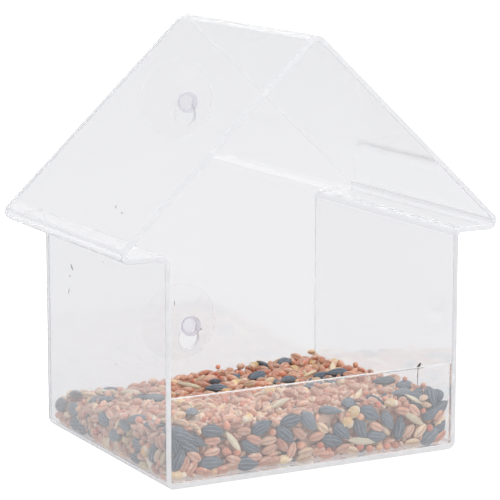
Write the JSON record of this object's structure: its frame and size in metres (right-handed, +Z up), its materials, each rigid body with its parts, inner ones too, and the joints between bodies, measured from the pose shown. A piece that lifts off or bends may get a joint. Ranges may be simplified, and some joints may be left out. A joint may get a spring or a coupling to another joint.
{
  "type": "window bird feeder",
  "caption": "Clear house-shaped window bird feeder: bent acrylic shell, open front over a low lip, keyholed back panel, sliding suction cups and mixed seed in the tray.",
  "frame": {"origin": "centre of the floor's underside", "axes": "+Z up, +Y out of the back towards the window pane, -Y out of the open front, X across the house"},
  "size_m": [0.1482, 0.107, 0.1515],
  "materials": {
    "clear_acrylic": "polished, water clear",
    "clear_vinyl": "soft, clear with a faint violet tint",
    "seed_mix": "dry husks, matt",
    "sunflower_hull": "dark hull, faint sheen",
    "wheat_husk": "smooth grain, satin",
    "oat_husk": "papery husk",
    "cracked_corn": "chalky to waxy"
  },
  "bodies": {
    "feeder": {"house_shell": "clear_acrylic", "back_panel": "clear_acrylic", "front_lip": "clear_acrylic", "seed_heap": "seed_mix", "sunflower_seed_01": "sunflower_hull", "sunflower_seed_02": "sunflower_hull", "sunflower_seed_03": "sunflower_hull", "sunflower_seed_04": "sunflower_hull", "sunflower_seed_05": "sunflower_hull", "sunflower_seed_06": "sunflower_hull", "sunflower_seed_07": "sunflower_hull", "sunflower_seed_08": "sunflower_hull", "sunflower_seed_09": "sunflower_hull", "sunflower_seed_10": "sunflower_hull", "sunflower_seed_11": "sunflower_hull", "sunflower_seed_12": "sunflower_hull", "wheat_grain_01": "wheat_husk", "wheat_grain_02": "wheat_husk", "wheat_grain_03": "wheat_husk", "wheat_grain_04": "wheat_husk", "wheat_grain_05": "wheat_husk", "wheat_grain_06": "wheat_husk", "wheat_grain_07": "wheat_husk", "wheat_grain_08": "wheat_husk", "oat_grain_01": "oat_husk", "oat_grain_02": "oat_husk", "corn_piece_01": "cracked_corn", "corn_piece_02": "cracked_corn", "corn_piece_03": "cracked_corn"},
    "upper_cup": {"suction_cup_upper": "clear_vinyl"},
    "lower_cup": {"suction_cup_lower": "clear_vinyl"}
  },
  "joints": [
    {"name": "upper_cup_slide", "type": "slide", "parent": "feeder", "child": "upper_cup", "axis": [0, 0, -1], "range_m": [0, 0.00496]},
    {"name": "lower_cup_slide", "type": "slide", "parent": "feeder", "child": "lower_cup", "axis": [0, 0, -1], "range_m": [0, 0.00496]}
  ]
}
